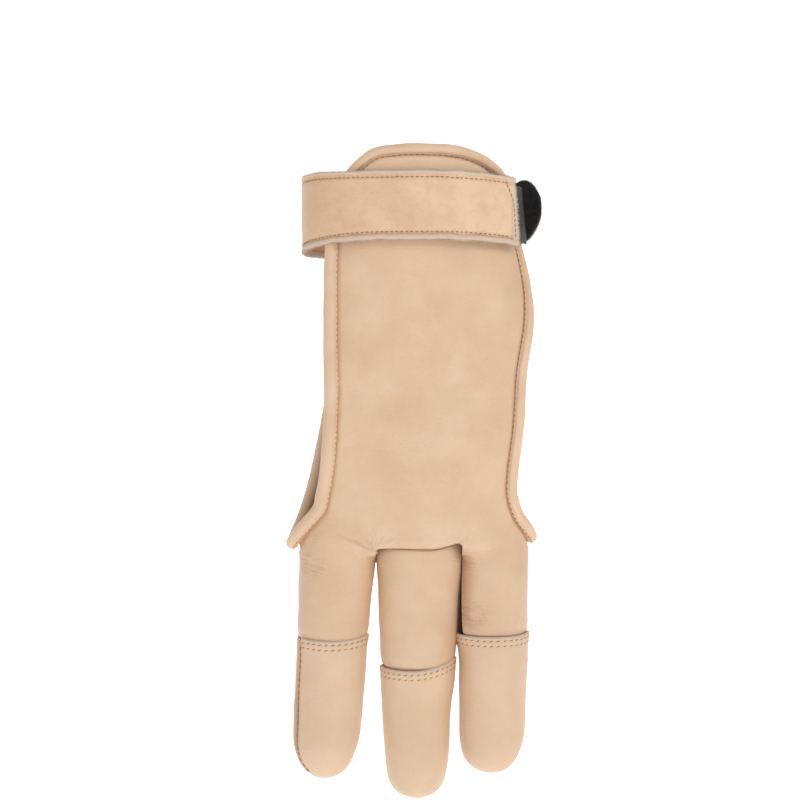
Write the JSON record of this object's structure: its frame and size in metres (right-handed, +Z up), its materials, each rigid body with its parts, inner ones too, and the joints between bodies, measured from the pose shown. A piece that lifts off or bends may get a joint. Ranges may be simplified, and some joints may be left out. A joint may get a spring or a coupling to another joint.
{
  "type": "archery glove",
  "caption": "Leather shooting glove for the string fingers: open-sided palm and back, finger stalls with layered tip caps, rolled edges and a strap that closes round the wrist.",
  "frame": {"origin": "on the axis of the wrist, just above the middle of the strap's height", "axes": "+Z up the forearm, so the fingers point along -Z; -Y out of the palm; +X towards the little finger"},
  "size_m": [0.0796, 0.048, 0.2027],
  "materials": {
    "tan_leather": "soft smooth vegetable-tan leather, satin, fine grain and pores",
    "cap_leather": "the same leather in a second layer, satin, with a pale raw cut edge",
    "binding_leather": "thin leather rolled over the edge, satin",
    "strap_leather": "smooth leather, satin, with a fuzzy pale cut edge",
    "hook_tape": "dark grey woven nylon hook tape, low gloss",
    "loop_tape": "black napped nylon loop tape, matt"
  },
  "bodies": {
    "root": {"palm_leather": "tan_leather", "middle_front": "tan_leather", "back_leather": "tan_leather", "index_cap": "cap_leather", "middle_cap": "cap_leather", "ring_cap": "cap_leather", "edge_binding": "binding_leather", "wrist_strap": "strap_leather", "hook_tape": "hook_tape", "loop_tape": "loop_tape"}
  },
  "joints": []
}
